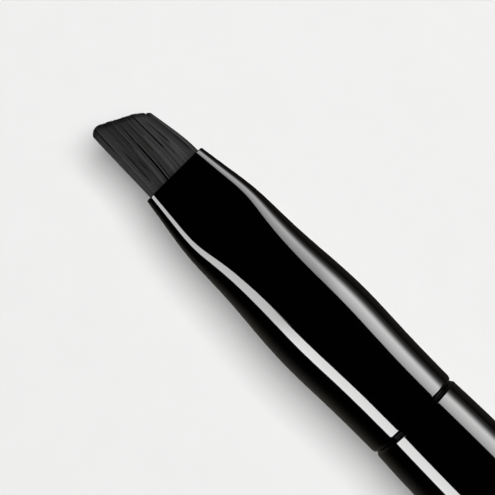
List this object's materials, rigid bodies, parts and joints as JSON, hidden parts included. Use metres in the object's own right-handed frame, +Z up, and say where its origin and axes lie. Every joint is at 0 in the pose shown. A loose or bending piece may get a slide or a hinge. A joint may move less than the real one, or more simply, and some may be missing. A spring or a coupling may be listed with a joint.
{
  "type": "paint brush",
  "caption": "Angled flat detail brush: dark filament tuft in a pressed black ferrule on a tapered, gloss-lacquered wooden handle; the tuft flexes at the mouth.",
  "frame": {"origin": "on the surface that the brush lies on, under the middle of its length", "axes": "+X along the brush towards the tuft's tip, +Y towards the tuft's long corner, +Z up, off the broad face of the flattened front"},
  "size_m": [0.1728, 0.0074, 0.0076],
  "materials": {
    "bare_wood": "bare turned hardwood",
    "black_lacquer": "thick high-gloss lacquer",
    "black_ferrule": "seamless pressed aluminium tube with a high-gloss black coat",
    "wood_glue": "set glue",
    "resin": "set epoxy",
    "thread": "twisted cotton thread",
    "filament": "fine tapered synthetic filaments"
  },
  "bodies": {
    "handle": {"handle_core": "bare_wood", "handle_lacquer": "black_lacquer", "ferrule": "black_ferrule", "tenon_glue": "wood_glue", "resin_plug": "resin", "root_tie_thread": "thread", "tuft_root": "filament"},
    "tuft": {"tuft": "filament"}
  },
  "joints": [
    {"name": "tuft_flex", "type": "hinge", "parent": "handle", "child": "tuft", "pos_m": [0.0809, 0, 0.0043], "axis": [0, 1, 0], "range_deg": [-40, 40], "stiffness_Nm_per_rad": 0.0036}
  ]
}
